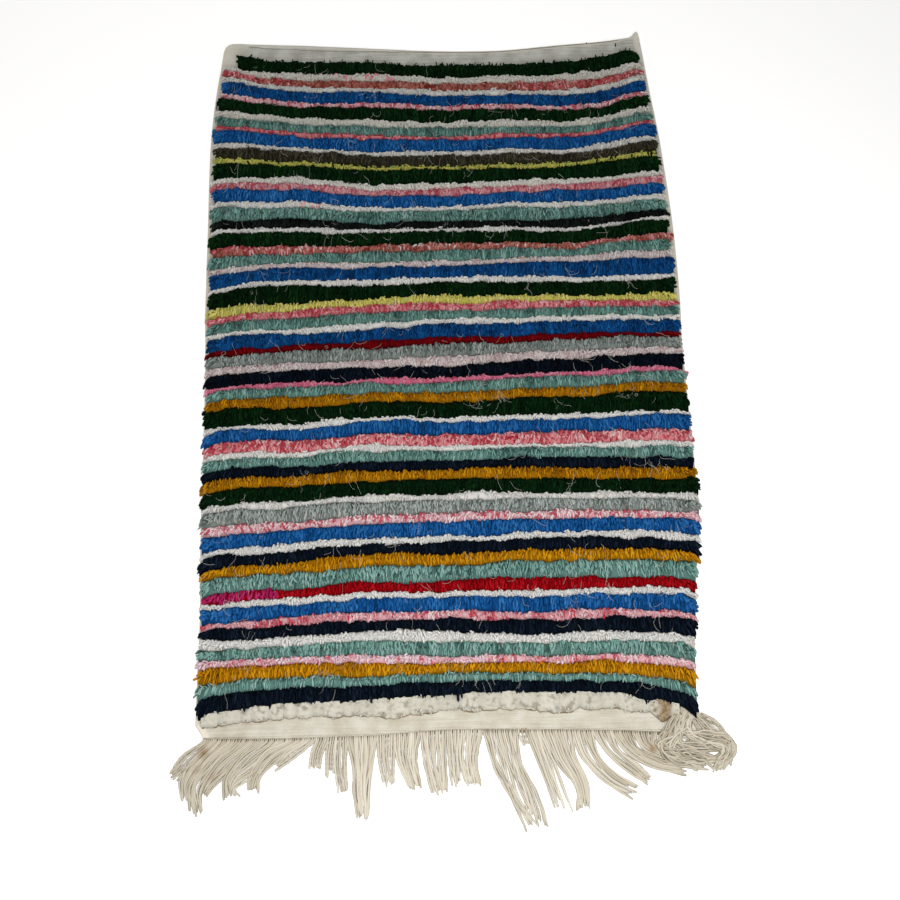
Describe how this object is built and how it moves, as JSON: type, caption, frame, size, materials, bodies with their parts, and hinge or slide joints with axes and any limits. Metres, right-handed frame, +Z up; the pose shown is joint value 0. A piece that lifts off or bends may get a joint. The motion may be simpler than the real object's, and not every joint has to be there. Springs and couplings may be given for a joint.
{
  "type": "boucherouite rug",
  "caption": "Small striped knotted-pile rug lying flat, with a flat-woven hem at its head and a loose warp fringe along its foot.",
  "frame": {"origin": "in the underside, at the middle of the rug's woven length and near the middle of its width", "axes": "+Y along the length, from the fringe to the hem; +X to the right across the stripes' run; +Z up out of the pile"},
  "size_m": [0.8431, 1.4538, 0.0226],
  "materials": {
    "wool_pile": "cut pile of wool and mixed yarn, matt, dyed in cross stripes",
    "cotton_warp": "undyed plied cotton, matt"
  },
  "bodies": {
    "root": {"woven_rug": "wool_pile", "fringe": "cotton_warp"}
  },
  "joints": []
}
